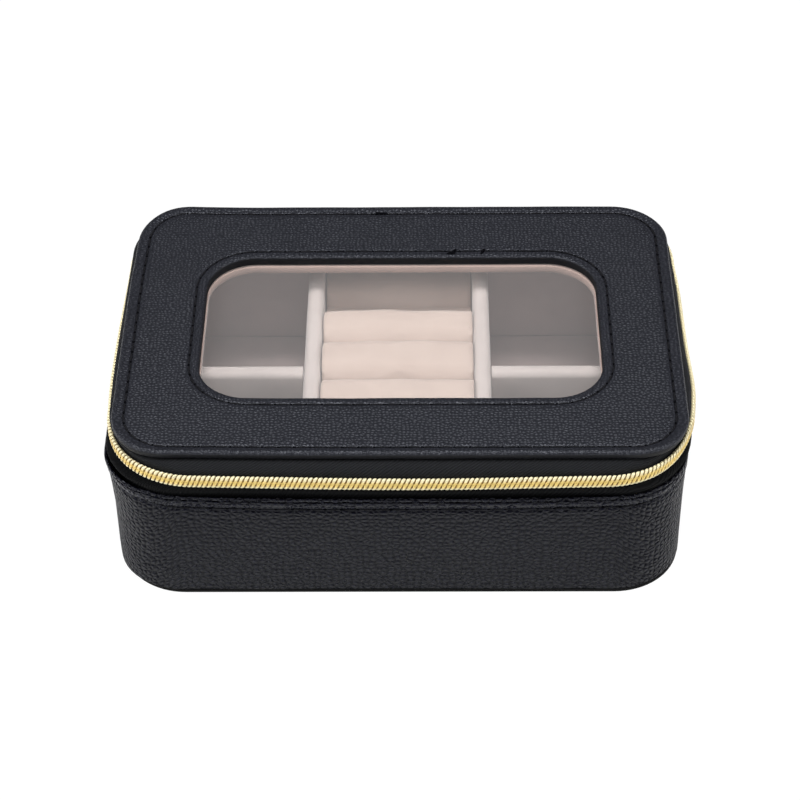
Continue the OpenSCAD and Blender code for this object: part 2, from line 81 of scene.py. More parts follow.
class Tone:
    """A socket in a material; sums, products and powers of tones add the Math nodes for them."""

    def __init__(self, tree, socket=None):
        self.tree, self.socket = tree, socket

    def node(self, kind, settings=None, inputs=None, out=0):
        """Adds any node: its settings first, then the values or links of its sockets."""
        made = self.tree.nodes.new(kind)
        for name, value in (settings or {}).items():
            if name == "stops":
                ramp = made.color_ramp
                while len(ramp.elements) < len(value):
                    ramp.elements.new(0.5)
                for stop, (place, colour) in zip(ramp.elements, value):
                    stop.position, stop.color = place, (*colour, 1)
            else:
                setattr(made, name, value)
        for name, value in (inputs or {}).items():
            socket = made.inputs[name]
            if isinstance(value, Tone):
                self.tree.links.new(value.socket, socket)
            else:
                socket.default_value = (*value, 1) if socket.type == "RGBA" and len(value) == 3 else value
        return Tone(self.tree, made.outputs[out] if made.outputs else None)

    def math(self, operation, *values):
        return self.node("ShaderNodeMath", {"operation": operation}, dict(enumerate(values)))

    def __add__(self, other): return self.math("ADD", self, other)
    def __sub__(self, other): return self.math("SUBTRACT", self, other)
    def __rsub__(self, other): return self.math("SUBTRACT", other, self)
    def __mul__(self, other): return self.math("MULTIPLY", self, other)
    def __pow__(self, other): return self.math("POWER", self, other)
    __radd__, __rmul__ = __add__, __mul__

    def limit(self): return self.node("ShaderNodeClamp", {}, {"Value": self})

    def mix(self, low, high):
        """The colour that goes from low to high as this tone goes from 0 to 1."""
        return self.node("ShaderNodeMix", {"data_type": "RGBA"}, {0: self, 6: low, 7: high}, 2)

    def noise(self, scale, detail=2.0, out="Fac"):
        return self.node("ShaderNodeTexNoise", {}, {"Vector": self, "Scale": scale, "Detail": detail}, out)

    def warp(self, scale, reach):
        """These coordinates pushed about by a soft noise."""
        push = self.noise(scale, 2.0, "Color")
        return self.node("ShaderNodeVectorMath", {"operation": "MULTIPLY_ADD"}, {0: push, 1: (reach,) * 3, 2: self})

    def bump(self, distance, strength=1.0):
        return self.node("ShaderNodeBump", {}, {"Height": self, "Distance": distance, "Strength": strength})


def finish(name, place="object"):
    """A new material and the coordinates that its patterns start from."""
    material = bpy.data.materials.new(name)
    material.use_nodes = True
    material.node_tree.nodes.clear()
    tone = Tone(material.node_tree)
    if place == "object":
        return material, tone.node("ShaderNodeTexCoord", out="Object")
    return material, tone.node("ShaderNodeUVMap", {"uv_map": place})


def shade(tone, **sockets):
    """Ends a material in one Principled shader."""
    names = {key.replace("_", " ").title().replace("Ior", "IOR"): value for key, value in sockets.items()}
    surface = tone.node("ShaderNodeBsdfPrincipled", {}, names)
    tone.node("ShaderNodeOutputMaterial", {}, {"Surface": surface})


paper, tone = finish("white_paper")
rays = tone.node("ShaderNodeLightPath", out="Is Camera Ray")
through = Tone(tone.tree, rays.socket.node.outputs["Is Transmission Ray"])
seen = (rays + through).limit()
sheet = tone.node("ShaderNodeBsdfDiffuse", {}, {"Color": (0.9, 0.9, 0.9)})
glow = tone.node("ShaderNodeEmission", {}, {"Color": (1, 1, 1), "Strength": 1.03})
surface = tone.node("ShaderNodeMixShader", {}, {0: seen * 0.95, 1: sheet, 2: glow})
tone.node("ShaderNodeOutputMaterial", {}, {"Surface": surface})

bm = bmesh.new()
bmesh.ops.create_grid(bm, x_segments=2, y_segments=2, size=3)
floor = bpy.data.objects.new("floor", bpy.data.meshes.new("floor"))
bm.to_mesh(floor.data)
bm.free()
floor.data.materials.append(paper)
floor.location.z = cad_box[0][2] - 0.0002
bpy.context.collection.objects.link(floor)

world = bpy.data.worlds.new("room")
bpy.context.scene.world = world
world.use_nodes = True
world.node_tree.nodes.clear()
tone = Tone(world.node_tree)
rays = tone.node("ShaderNodeLightPath", out="Is Camera Ray")
through = Tone(tone.tree, rays.socket.node.outputs["Is Transmission Ray"])
light = tone.node("ShaderNodeBackground", {}, {"Color": (0.97, 0.96, 1.0), "Strength": 0.14})
white = tone.node("ShaderNodeBackground", {}, {"Color": (1, 1, 1), "Strength": 1.0})
sky = tone.node("ShaderNodeMixShader", {}, {0: (rays + through).limit(), 1: light, 2: white})
tone.node("ShaderNodeOutputWorld", {}, {"Surface": sky})


def lamp(name, place, aim, width, height, power):
    """A soft rectangular lamp that points at aim."""
    made = bpy.data.objects.new(name, bpy.data.lights.new(name, "AREA"))
    made.data.shape, made.data.size, made.data.size_y, made.data.energy = "RECTANGLE", width, height, power
    made.location = place
    made.rotation_euler = (Vector(aim) - Vector(place)).to_track_quat("-Z", "Y").to_euler()
    bpy.context.collection.objects.link(made)


lamp("key_lamp", (0.0, -0.12, 1.2), (0, 0, 0.04), 0.6, 0.4, 12.0)
lamp("far_lamp", (0.0, -0.52, 1.04), (0, 0, 0.04), 0.6, 0.4, 1.6)
lamp("front_lamp", (0.1, -1.1, 0.9), (0, 0, 0.03), 0.7, 0.4, 0.6)
lamp("left_lamp", (-1.1, -0.3, 0.6), (0, 0, 0.04), 0.5, 0.5, 7.5)
lamp("right_lamp", (1.1, -0.3, 0.6), (0, 0, 0.04), 0.5, 0.5, 5.4)


# ---- Bottom cover and boards ----
# A thin sheet of smooth black leatherette closes the underside. The walls, the bottom
# and the lid are grey pressed board, hidden once the leather and velvet are on.

def dress(material, *names):
    """Gives CAD nodes their finish."""
    for name in names:
        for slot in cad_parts[name].material_slots:
            slot.material = material


# The cover's near-black is partly its own colour and partly painted shade for the dark line along the bottom edge.
cover, place = finish("bottom_leatherette_painted_shade")
grain = place.noise(2600, 3)
shade(place, base_color=grain.mix((0.0015, 0.0015, 0.0018), (0.004, 0.004, 0.0045)), roughness=0.65 + 0.15 * grain,
      specular_ior_level=0.15, normal=grain.bump(0.00004, 0.6))
dress(cover, "base_bottom_cover")

board, place = finish("grey_board")
fibre = place.noise(900, 4)
shade(place, base_color=fibre.mix((0.2, 0.18, 0.16), (0.33, 0.31, 0.28)), roughness=0.9, normal=fibre.bump(0.0001, 0.5))
dress(board, "base_bottom_board")


# ---- Leather round the walls ----
# One strip of pebbled leather goes round the walls, turns in under the bottom and is
# hemmed at the rim, where a soft fold stands above the row of stitches.

mm = 0.001
LID = (180, 124, 18)
BASE = (182, 126, 22)


def outline(bm, size, grown, height, shift=(0, 0)):
    """A loop of edges: a rounded rectangle, grown by an offset, at one height, in millimetres."""
    width, depth, corner = size[0] + 2 * grown, size[1] + 2 * grown, size[2] + grown
    place = Matrix.Translation(Vector((*shift, height)) * mm) @ Matrix.Diagonal((width * mm, depth * mm, 1, 1))
    bmesh.ops.create_grid(bm, x_segments=1, y_segments=1, size=0.5, matrix=place)
    bmesh.ops.bevel(bm, geom=bm.verts[:], offset=corner * mm, offset_type="OFFSET", segments=14, profile=0.5,
                    affect="VERTICES", clamp_overlap=False, material=-1)
    bmesh.ops.delete(bm, geom=bm.faces[:], context="FACES_ONLY")
    straight = sorted(bm.edges, key=lambda edge: edge.calc_length())[-4:]
    bmesh.ops.subdivide_edges(bm, edges=straight, cuts=30)
    return bm.edges[:]


def skin(section, closed=True):
    """A mesh swept round outlines: each (size, offset, height, shift in x and y) of the section is one loop of it.
    A size is a width, a depth, a corner radius and, where it differs, the front corners' radius."""
    bm = bmesh.new()
    flat, way = (bm.verts.layers.float_vector.new(name) for name in ("flat", "way"))
    section = [item if len(item) == 4 else (*item, (0, 0)) for item in section]
    edges = outline(bm, *section[0])
    size, grown, height, shift = section[0]
    flat_x, flat_y = size[0] / 2 - size[2], size[1] / 2 - size[2]
    for vert in bm.verts:
        x, y = vert.co.x / mm - shift[0], vert.co.y / mm - shift[1]
        share_x, share_y = min(1, max(-1, x / flat_x)), min(1, max(-1, y / flat_y))
        vert[flat] = (share_x, share_y, 0)
        vert[way] = Vector((x - share_x * flat_x, y - share_y * flat_y, 0)) / (size[2] + grown)
        corner = size[-1] if share_y < 0 else size[2]
        out = vert[way] * (corner + grown)
        vert.co.xy = ((share_x * (size[0] / 2 - corner) + out.x + shift[0]) * mm,
                      (share_y * (size[1] / 2 - corner) + out.y + shift[1]) * mm)
    for size, grown, height, shift in section[1:] + section[:1] * closed:
        pulled = bmesh.ops.extrude_edge_only(bm, edges=edges)["geom"]
        edges = [part for part in pulled if isinstance(part, bmesh.types.BMEdge)]
        for vert in (part for part in pulled if isinstance(part, bmesh.types.BMVert)):
            share = vert[flat]
            corner = size[-1] if share.y < 0 else size[2]
            out = vert[way] * (corner + grown)
            vert.co = Vector((share.x * (size[0] / 2 - corner) + out.x + shift[0],
                              share.y * (size[1] / 2 - corner) + out.y + shift[1], height)) * mm
    bmesh.ops.remove_doubles(bm, verts=bm.verts[:], dist=1e-6)
    bm.verts.layers.float_vector.remove(bm.verts.layers.float_vector["way"])
    bm.verts.layers.float_vector.remove(bm.verts.layers.float_vector["flat"])
    bm.normal_update()
    return bm


def quarter(size, x, y):
    """Distance along the outline from the middle of the back to the point beside (x, y), and the way out there."""
    flat_x, flat_y, corner = size[0] / 2 - size[2], size[1] / 2 - size[2], size[2]
    a, b = abs(x), abs(y)
    whole = flat_x + corner * math.pi / 2 + flat_y
    if a <= flat_x and (b > flat_y or b / size[1] > a / size[0]):
        run, way = a, (0, 1)
    elif b <= flat_y:
        run, way = whole - b, (1, 0)
    else:
        turn = math.atan2(a - flat_x, b - flat_y)
        run, way = flat_x + corner * turn, (math.sin(turn), math.cos(turn))
    way = (math.copysign(way[0], x), math.copysign(way[1], y))
    if y < 0:
        run = 2 * whole - run
    return (4 * whole - run if x < 0 else run), way, 4 * whole


def wall_map(bm, size):
    """A map in millimetres for patterns that run round the walls: along the outline, and up."""
    layer = bm.loops.layers.uv.new("grain")
    for face in bm.faces:
        spots = []
        for loop in face.loops:
            x, y, z = loop.vert.co / mm
            run, way, whole = quarter(size, x, y)
            out = (abs(x) - size[0] / 2) * abs(way[0]) + (abs(y) - size[1] / 2) * abs(way[1])
            spots.append([run, z - out])
        if max(s[0] for s in spots) - min(s[0] for s in spots) > whole / 2:
            spots = [[s[0] + whole * (s[0] < whole / 2), s[1]] for s in spots]
        for loop, at in zip(face.loops, spots):
            loop[layer].uv = at


def stretch(bm, share):
    """Marks where the leather is pulled tight, so its grain lies flatter there."""
    layer = bm.verts.layers.float.new("tight")
    for vert in bm.verts:
        vert[layer] = min(1, max(0, share(*(vert.co / mm))))


def ripple(bm, reach, size=18):
    """Lets a soft skin stand a little proud here and hollow there."""
    for vert in bm.verts:
        vert.co += vert.normal * noise.noise(vert.co / (size * mm)) * reach * mm


def piece(name, bm, material, body, sharp=40):
    """Makes the finished mesh an object that rides on a body, if it is given one."""
    bmesh.ops.recalc_face_normals(bm, faces=bm.faces[:])
    mesh = bpy.data.meshes.new(name)
    bm.to_mesh(mesh)
    bm.free()
    mesh.shade_smooth()
    mesh.set_sharp_from_angle(angle=math.radians(sharp))
    mesh.materials.append(material)
    made = bpy.data.objects.new(name, mesh)
    bpy.context.collection.objects.link(made)
    if body:
        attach(made, body)
    return made


def leather(name, cell, longer, depth, dark, light, rough, gleam, shade_level):
    """Pebbled black leather: rounded grains of about one cell, in millimetres, with fine creases between, darkened as
    painted shade.
    Below one level its cut and folded edges are darkened as painted shade and made rougher."""
    material, place = finish(name, "grain")
    stretched = place.node("ShaderNodeVectorMath", {"operation": "MULTIPLY"}, {0: place, 1: (1 / longer, 1, 1)})
    bent = stretched.warp(0.6 / cell, 0.3 * cell)
    far = bent.node("ShaderNodeTexVoronoi", {"feature": "SMOOTH_F1", "voronoi_dimensions": "2D"},
                    {"Vector": bent, "Scale": 1 / cell, "Smoothness": 0.3, "Randomness": 0.8}, "Distance")
    edge = bent.node("ShaderNodeTexVoronoi", {"feature": "DISTANCE_TO_EDGE", "voronoi_dimensions": "2D"},
                     {"Vector": bent, "Scale": 1 / cell, "Randomness": 0.8}, "Distance")
    pebble = (1 - far ** 1.6 * 1.4).limit() * (0.25 + (edge * 2.8).limit() * 0.75)
    pores = place.noise(5.0, 3)
    patch = place.noise(0.05, 3)
    tight = place.node("ShaderNodeAttribute", {"attribute_name": "tight"}, out="Fac")
    height = (pebble * (0.65 + 0.5 * patch) + pores * 0.12) * (1 - tight * 0.92)
    level = place.node("ShaderNodeSeparateXYZ", {}, {0: place.node("ShaderNodeTexCoord", out="Object")}, "Z")
    # Below the given level the colour drops to a quarter: painted shade on the turned-under edges.
    above_shade = ((level * 1000 - shade_level) * 1.5).limit() * 0.75 + 0.25
    # Darker creases between the pebbles in the base colour are painted shade.
    shade(place, base_color=((pebble * 0.75 + patch * 0.3).limit() * above_shade).mix(dark, light),
          roughness=rough + 0.1 * pores - 0.1 * pebble + 0.06 * patch + 0.25 * (1 - above_shade) - 0.2 * tight,
          specular_ior_level=gleam, specular_tint=(0.87, 0.9, 1.0), normal=height.bump(depth * mm, 1.0))
    return material


# The wall's bottom 1.6 mm are darkened as painted shade for the shadow line along the floor.
wall_leather = leather("wall_leather", 1.7, 1.15, 3.0, (0.0003, 0.0003, 0.0006), (0.0105, 0.011, 0.0205),
                       0.34, 0.21, 1.6)

wall = [(-8, 1.25), (-3, 1.2), (-0.6, 1.22), (-0.2, 1.35), (0, 1.75), (0.05, 2.6), (0.1, 8), (0.15, 15), (0.18, 24),
        (0.1, 31), (0.02, 35.6), (-0.1, 36.5), (-0.4, 36.95), (-0.4, 37.4), (0.0, 37.9), (0.2, 38.6), (0.2, 39.4),
        (0.0, 40.0), (-0.5, 40.3), (-0.5, 40.55), (0.0, 40.8), (0.26, 41.1), (0.22, 41.45), (-0.1, 41.8),
        (-0.55, 41.82), (-0.8, 41.5), (-0.88, 41), (-0.9, 34), (-0.9, 2), (-8, 1.7)]


def settle(x, y, z):
    """How far the soft rim has settled inwards at the front, more towards the corners."""
    bow = 1.9 * min(1, x / 84) ** 3 if x > 0 else 2.1 * min(1, -x / 80) ** 3
    tall = min(1, max(0, (z - 6) / 30)) - min(1, max(0, (z - 42) / 5.5))
    return Vector((0, bow * min(1, max(0, (-y - 15) / 35)) * tall, 0)) * mm


def settled(bm):
    """Moves a mesh with the settled rim."""
    for vert in bm.verts:
        vert.co += settle(*(vert.co / mm))
    return bm


def near(x, y, centre, reach):
    """1 at a centre, falling softly to 0 around it."""
    return math.exp(-((x - centre[0]) ** 2 + (y - centre[1]) ** 2) / reach ** 2)


bm = settled(skin([(BASE, grown, height) for grown, height in wall]))
for vert in bm.verts:
    x, y, z = vert.co / mm
    left = 0.75 * min(1, (z + 14) / 25) * (x < 0) + 0.8 * near(x, y, (-85, -58), 14) * max(0, 1 - z / 14)
    if x < -80:
        left += max(0, (z - 22) / 19) ** 1.5 * 2.0 * math.exp(-((y + 35) / 40) ** 2)
    right = 0.7 * near(x, y, (88, -49), 18) * min(1, max(0, (z - 28) / 10))
    vert.co.x += (right - left) * mm
ripple(bm, 0.16, 14)
wall_map(bm, BASE)
stretch(bm, lambda x, y, z: max(min(0.85, z - 35.5), 1.4 - z))
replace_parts(piece("wall_leather", bm, wall_leather, "base"), "base_wall_leather")

section = [(-1.35, 3.7), (-1.35, 40.2), (-2.85, 40.2), (-2.85, 3.7)]
bm = settled(skin([(BASE, grown, height) for grown, height in section]))
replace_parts(piece("wall_board", bm, board, "base", 30), "base_wall_board")


# ---- Rim stitches ----
# A row of black thread holds the hem to the board, a little below the rim. Each stitch
# is one short pull of thread that sinks into the leather at both ends.

def spot(size, run, grown, height, lean=0.0, shift=(0, 0)):
    """The place of something set on an outline: its x runs along, its y points out, in metres."""
    run %= girth(size)
    right = run < girth(size) / 2
    run = run if right else girth(size) - run
    rear = run <= quarter_length(size, size[2])
    corner = size[2] if rear else size[-1]
    rest = run if rear else girth(size) / 2 - run
    flat_x, flat_y = size[0] / 2 - corner, size[1] / 2 - corner
    turn = min(max((rest - flat_x) / corner, 0), math.pi / 2)
    way = Vector((math.sin(turn), math.cos(turn), 0))
    x = min(rest, flat_x) + corner * way.x
    y = min(quarter_length(size, corner) - rest, flat_y) + corner * way.y
    out = Vector((way.x * (1 if right else -1), way.y * (1 if rear else -1), 0))
    place = Vector((x * (1 if right else -1) + shift[0], y * (1 if rear else -1) + shift[1], height)) * mm
    place += out * grown * mm
    along = Vector((out.y, -out.x, 0))
    turned = Matrix((along, out, Vector((0, 0, 1)))).transposed().to_4x4()
    return Matrix.Translation(place) @ turned @ Matrix.Rotation(lean, 4, "Y")


def quarter_length(size, corner):
    """Length of an outline from the middle of the back or front to the middle of a side."""
    return (size[0] + size[1]) / 2 - 2 * corner + corner * math.pi / 2


def girth(size):
    """Length of an outline."""
    return 2 * quarter_length(size, size[2]) + 2 * quarter_length(size, size[-1])


def grow(size, grown):
    """The size of an outline's offset."""
    return (size[0] + 2 * grown, size[1] + 2 * grown) + tuple(corner + grown for corner in size[2:])


def scatter(shape, places):
    """One mesh of many copies of a small shape."""
    bm = bmesh.new()
    for place in places:
        shape.transform(place)
        bm.from_mesh(shape)
        shape.transform(place.inverted())
    bpy.data.meshes.remove(shape)
    return bm


def stitch_shape(length, width, rise):
    """A thread stitch: a spindle along x, flattened."""
    bm = bmesh.new()
    bmesh.ops.create_uvsphere(bm, u_segments=8, v_segments=6, radius=0.5)
    bmesh.ops.rotate(bm, verts=bm.verts[:], cent=(0, 0, 0), matrix=Matrix.Rotation(math.pi / 2, 3, "Y"))
    bmesh.ops.scale(bm, verts=bm.verts[:], vec=(length * mm, rise * mm, width * mm))
    mesh = bpy.data.meshes.new("stitch")
    bm.to_mesh(mesh)
    bm.free()
    return mesh


thread, place = finish("black_thread")
strand = place.node("ShaderNodeTexWave", {"bands_direction": "DIAGONAL"},
                    {"Vector": place, "Scale": 900.0, "Distortion": 1.5}, "Fac")
shade(place, base_color=strand.mix((0.003, 0.003, 0.004), (0.009, 0.009, 0.012)), roughness=0.8,
      specular_ior_level=0.15, normal=strand.bump(0.00006, 0.5))
# Flat matte black with no gloss for the needle holes: painted shade where the thread dives in.
hole, place = finish("needle_hole_painted_shade")
shade(place, base_color=(0.003, 0.003, 0.004), roughness=1.0, specular_ior_level=0.0)


def uneven(place, i):
    """A stitch's place with the small errors of sewing."""
    stray = [noise.noise(Vector((i * 1.7, k * 9.1, 0))) for k in range(3)]
    moved = Matrix.Translation((0.3 * stray[0] * mm, 0, 0.16 * stray[1] * mm))
    return place @ moved @ Matrix.Rotation(0.12 * stray[2], 4, "Y")


rim, pitch, level = grow(BASE, -0.15), 5.1, 37.18
count = round(girth(rim) / pitch)
stitches = scatter(stitch_shape(4.3, 0.62, 0.6),
                   [uneven(spot(rim, (i + 0.5) * girth(rim) / count, -0.14, level, 0.03), i) for i in range(count)])
# Dark matte spindles at the needle holes: painted shade.
holes = scatter(stitch_shape(1.1, 0.8, 0.3),
                [spot(rim, i * girth(rim) / count, -0.08, level) for i in range(count)])
piece("rim_stitches", settled(stitches), thread, "base")
piece("rim_holes", settled(holes), hole, "base")


# ---- Velvet linings of the base ----
# The inner wall is board wrapped in short cream velvet and stands higher than the
# leather, so the lid seats round it. The floor is a thin velvet pad.

def velvet(name, dark, light):
    """Short cut velvet: fine pile, brushed a little lighter and darker in patches."""
    material, place = finish(name)
    pile = place.noise(3800, 2)
    brushed = place.warp(60, 0.01).noise(90, 3)
    shade(place, base_color=(brushed * 0.7 + pile * 0.35).limit().mix(dark, light), roughness=0.92,
          sheen_weight=0.35, sheen_roughness=0.35, specular_ior_level=0.15,
          normal=(pile * 0.7 + brushed * 0.8).bump(0.00022, 0.55))
    return material


cream = velvet("cream_velvet", (0.46, 0.402, 0.378), (0.595, 0.528, 0.5))
# The same cream velvet, darker and greyer, for the inner walls, floor pad and hinge strip: painted shade deep inside
# the box.
painted_shade_cream = velvet("cream_velvet_painted_shade", (0.42, 0.34, 0.322), (0.55, 0.45, 0.428))
blush = velvet("blush_velvet", (0.475, 0.373, 0.322), (0.595, 0.483, 0.424))
rose = velvet("rose_velvet", (0.335, 0.228, 0.193), (0.47, 0.332, 0.28))

low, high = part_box("base_wall_lining")
LINING = ((high[0] - low[0]) / mm, (high[1] - low[1]) / mm, 19.1)
section = [(0, 3.8), (0, 42), (-0.05, 44.6), (-0.45, 45.3), (-0.9, 45.5), (-1.4, 45.35), (-1.75, 44.8), (-1.82, 44),
           (-1.85, 30), (-1.8, 15), (-1.8, 6), (-1.8, 3.8)]
bm = settled(skin([(LINING, grown, height) for grown, height in section]))
ripple(bm, 0.12, 16)
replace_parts(piece("wall_lining", bm, painted_shade_cream, "base"), "base_wall_lining")


def close(bm):
    """Closes every open loop of edges with a face."""
    bmesh.ops.holes_fill(bm, edges=[e for e in bm.edges if e.is_boundary], sides=0)


low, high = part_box("base_floor_pad")
PAD = ((high[0] - low[0]) / mm, (high[1] - low[1]) / mm, 17.1)
section = [(-0.6, 3.7), (-0.1, 3.9), (0, 4.5), (-0.2, 5.1), (-0.8, 5.4), (-2, 5.5), (-8, 5.52), (-16, 5.5)]
bm = skin([(PAD, grown, height) for grown, height in section], closed=False)
close(bm)
pad = piece("floor_pad", bm, painted_shade_cream, "base")
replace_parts(pad, "base_floor_pad")


# ---- Dividers and the platform ----
# Two long dividers and two cross dividers of velvet over thin foam and board. Their
# top edges are round where the velvet is folded over. The rolls stand on a platform.

def cut(bm, point, way, away=False):
    """Cuts a mesh along a plane. With away, the side that way points to goes and the cut is closed."""
    bmesh.ops.bisect_plane(bm, geom=bm.verts[:] + bm.edges[:] + bm.faces[:], plane_co=point, plane_no=way,
                           clear_outer=away)
    if away:
        close(bm)


def pad_between(name, low, high, edge, top, material):
    """A velvet-wrapped board: a box with soft edges that are rounder along the top."""
    low, high = Vector(low), Vector(high)
    bm = bmesh.new()
    bmesh.ops.create_cube(bm, size=1, matrix=Matrix.Translation((low + high) / 2) @ Matrix.Diagonal((*(high - low), 1)))
    along = 0 if (high - low).x > (high - low).y else 1
    crown = [e for e in bm.edges if all(v.co.z > high.z - 1e-6 for v in e.verts)
             and abs((e.verts[0].co - e.verts[1].co)[along]) > 1e-4]
    bmesh.ops.bevel(bm, geom=crown, offset=top * mm, offset_type="OFFSET", segments=8, profile=0.5, affect="EDGES",
                    clamp_overlap=True, material=-1)
    for step in range(24):
        point, way = Vector((0, 0, 0)), Vector((0, 0, 0))
        point[along] = low[along] + (high - low)[along] * (step + 1) / 25
        way[along] = 1
        cut(bm, point, way)
    for step in range(8):
        cut(bm, (0, 0, low.z + (high.z - low.z) * (step + 0.5) / 9), (0, 0, 1))
    bm.normal_update()
    ripple(bm, 0.12, 15)
    made = piece(name, bm, material, "base", 60)
    soft = made.modifiers.new("soft", "BEVEL")
    soft.width, soft.segments, soft.limit_method, soft.angle_limit = edge * mm, 3, "ANGLE", math.radians(50)
    return made


for name in ("divider_left", "divider_right", "cross_divider_left", "cross_divider_right"):
    low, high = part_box(name)
    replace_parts(pad_between(name + "_velvet", low, high, 0.4, 2.2, cream), name)
dress(cream, "roll_platform")


# ---- Ring rolls ----
# Seven foam rolls side by side, each wrapped in velvet and tucked into its neighbours.
# The foam swells between the tucks, so every roll puffs and leans a little its own way.

LEANS = [(-58.1, 0), (-41.6, 1.0), (-25.1, 2.0), (-8.6, 1.6), (7.8, 5.6), (24.3, 3.9), (40.8, 4.6), (57.3, 0)]
PRESSED = {6: 14.0, 7: 6.5}  # how far down some crests are pressed, in millimetres
SWELL, STEPS = 0.9, 20  # the furthest the foam swells, in millimetres, and the steps it takes


def push(y):
    """How far the crests lean to the back at y, in millimetres."""
    for (y0, lean0), (y1, lean1) in zip(LEANS, LEANS[1:]):
        if y <= y1:
            return lean0 + (lean1 - lean0) * max(0, y - y0) / (y1 - y0)
    return 0


rolls = []
for i in range(1, 8):
    low, high = (Vector(corner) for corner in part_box(f"ring_roll_{i}"))
    low, high = low + Vector((0, 0.3, 0)) * mm, high - Vector((0, 0.3, 0.6)) * mm
    bm = bmesh.new()
    bmesh.ops.create_cube(bm, size=1, matrix=Matrix.Translation((low + high) / 2) @ Matrix.Diagonal((*(high - low), 1)))
    crown = [e for e in bm.edges if all(v.co.z > high.z - 1e-6 for v in e.verts)
             and abs(e.verts[0].co.x - e.verts[1].co.x) > 1e-4]
    bmesh.ops.bevel(bm, geom=crown, offset=5.6 * mm, offset_type="OFFSET", segments=8, profile=0.5, affect="EDGES",
                    clamp_overlap=True, material=-1)
    roll = piece(f"ring_roll_{i}_velvet", bm, blush, "base", 180)
    remesh = roll.modifiers.new("even", "REMESH")
    remesh.mode, remesh.voxel_size = "VOXEL", 1.1 * mm
    even = bpy.data.meshes.new_from_object(roll.evaluated_get(bpy.context.evaluated_depsgraph_get()))
    roll.modifiers.clear()
    roll.data = even
    rolls.append(roll)

still = {roll: [v.co.copy() for v in roll.data.vertices] for roll in rolls}
for roll in rolls:
    held = roll.vertex_groups.new(name="held")
    floor_z = min(v.co.z for v in roll.data.vertices)
    held.add([v.index for v in roll.data.vertices if v.co.z < floor_z + 3 * mm], 1.0, "REPLACE")
    foam = roll.modifiers.new("foam", "CLOTH")
    foam.settings.vertex_group_mass = "held"
    foam.settings.use_pressure, foam.settings.uniform_pressure_force = True, 4
    foam.settings.effector_weights.gravity = 0
    foam.settings.quality = 4
    foam.settings.mass = 0.1
    foam.point_cache.frame_start, foam.point_cache.frame_end = 1, STEPS
for step in range(1, STEPS + 1):
    bpy.context.scene.frame_set(step)
graph = bpy.context.evaluated_depsgraph_get()
swollen = {roll: [v.co.copy() for v in roll.evaluated_get(graph).data.vertices] for roll in rolls}
for roll in rolls:
    roll.modifiers.clear()
    roll.vertex_groups.clear()
    for vert, was, now in zip(roll.data.vertices, still[roll], swollen[roll]):
        move = now - was
        vert.co = was + move * min(1, SWELL * mm / max(move.length, 1e-9))
bpy.context.scene.frame_set(1)

for i, roll in enumerate(rolls, 1):
    low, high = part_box(f"ring_roll_{i}")
    for vert in roll.data.vertices:
        share = max(0, (vert.co.z - low[2]) / (high[2] - low[2]) - 0.35) / 0.65
        off_middle = (vert.co.x - (low[0] + high[0]) / 2) / (26 * mm)
        vert.co.y += push(vert.co.y / mm) * mm * share ** 1.5 * (1 - 0.2 * off_middle ** 2)
        vert.co += Vector((0, 0.35, 0.35)) * mm * noise.noise(vert.co / (11 * mm) + Vector((i * 7, 0, 0))) * share
        vert.co.z -= PRESSED.get(i, 0) * mm * share
        vert.co.z = min(vert.co.z, high[2] + 0.3 * mm)
    roll.data.materials.clear()
    roll.data.materials.append(blush)
    roll.data.shade_smooth()
    fine = roll.modifiers.new("fine", "SUBSURF")
    fine.levels = fine.render_levels = 1
    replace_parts(roll, f"ring_roll_{i}")


# ---- Zip tapes ----
# Two woven black tapes carry the teeth. One is sewn under the lid's edge and comes down
# over it; the other comes up from inside the base's rim. Both end at the leather hinge.

def webbing(name, light):
    """Woven tape: a diagonal twill with a little lint."""
    material, place = finish(name, "grain")
    twill = place.node("ShaderNodeTexWave", {"bands_direction": "DIAGONAL"},
                       {"Vector": place, "Scale": 0.42, "Distortion": 0.8, "Detail": 1.0}, "Fac")
    lint = place.noise(1.4, 3)
    dark, pale = (0.2 * light, 0.21 * light, 0.25 * light), (light, 1.08 * light, 1.3 * light)
    shade(place, base_color=(twill * 0.6 + lint * 0.4).mix(dark, pale), roughness=0.7 + 0.2 * lint,
          specular_ior_level=17 * light, normal=(twill + lint * 0.8).bump(0.00022, 0.8))
    return material


COIL = (*LID, 25.8)  # the zip's teeth turn the front corners wider
OPEN, END = 72, -52.4  # where the two rows part and where they end, along x behind the lid


def slack(x, y):
    """How far the soft zip strays at (x, y): drawn in at the corners and on the left, sagging at the front."""
    front = min(1, max(0, (30 - y) / 70))
    draw = 0.9 * near(x, y, (-80, -52), 20) + 1.6 * near(x, y, (89, -45), 14) + 2.2 * near(x, y, (-84, 52), 17)
    draw += 1.1 * near(x, y, (90, 44), 12) + 1.1 * near(x, y, (-90, 36), 22) + 1.1 * near(x, y, (-91, -40), 13)
    draw -= 0.8 * near(x, y, (92, -24), 15)
    draw += 0.9 * math.exp(-((y + 4) / 42) ** 4) * (x < -85)
    length = math.hypot(x * 0.7, y)
    lift = front ** 2 * ((2.1 - 1.5 * math.exp(-((x - 6) / 50) ** 2)) if y < 0 else 2.1)
    return Vector((-x * 0.7 / length * draw, -y / length * draw, lift)) * mm


def join(bm, other):
    """Adds another mesh to this one."""
    mesh = bpy.data.meshes.new("joined")
    other.to_mesh(mesh)
    other.free()
    bm.from_mesh(mesh)
    bpy.data.meshes.remove(mesh)


